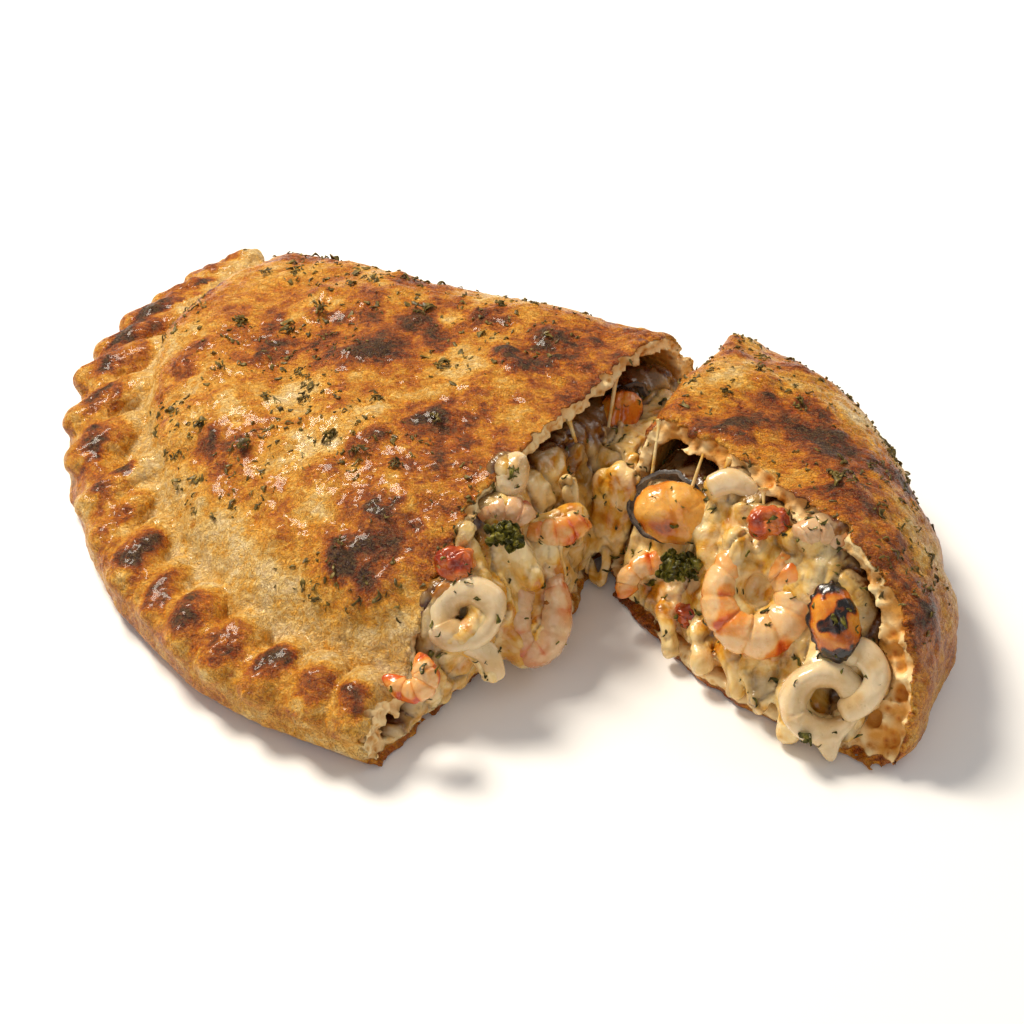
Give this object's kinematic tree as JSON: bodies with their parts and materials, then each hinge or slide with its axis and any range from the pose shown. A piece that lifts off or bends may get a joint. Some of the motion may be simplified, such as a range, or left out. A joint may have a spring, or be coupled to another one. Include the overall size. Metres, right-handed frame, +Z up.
{
  "type": "calzone",
  "caption": "Baked seafood calzone, cut once and swung open, with prawns, squid, mussels and melted cheese showing.",
  "frame": {"origin": "middle of the underside of the whole", "axes": "+X along the longest side, from the crimped piece to the smaller piece; +Y from the open cut to the folded edge; +Z up"},
  "size_m": [0.2476, 0.2094, 0.0516],
  "materials": {
    "crust": "baked, slightly oily",
    "cheese": "melted, glossy",
    "prawn": "moist",
    "squid": "moist",
    "mussel_meat": "moist",
    "mussel_shell": "glossy",
    "tomato": "moist",
    "herb": "wilted"
  },
  "bodies": {
    "root": {"cheese_bridge": "cheese", "crust_left": "crust", "crust_right": "crust", "filling_left": "cheese", "filling_right": "cheese", "herbs_left": "herb", "herbs_right": "herb", "mussel_back_left": "mussel_meat", "mussel_shell_back_left": "mussel_shell", "mussel_shell_side_right": "mussel_shell", "mussel_shell_top_right": "mussel_shell", "mussel_side_right": "mussel_meat", "mussel_top_right": "mussel_meat", "prawn_curled_right": "prawn", "prawn_hanging_left": "prawn", "prawn_low_left": "prawn", "prawn_low_right": "prawn", "prawn_middle_left": "prawn", "prawn_top_right": "prawn", "prawn_upper_left": "prawn", "squid_lump_left": "squid", "squid_ring_left": "squid", "squid_ring_right": "squid", "squid_strip_left": "squid", "squid_strip_right": "squid", "squid_top_left": "squid", "squid_top_right": "squid", "tomato_left": "tomato", "tomato_low_right": "tomato", "tomato_top_right": "tomato"}
  },
  "joints": []
}
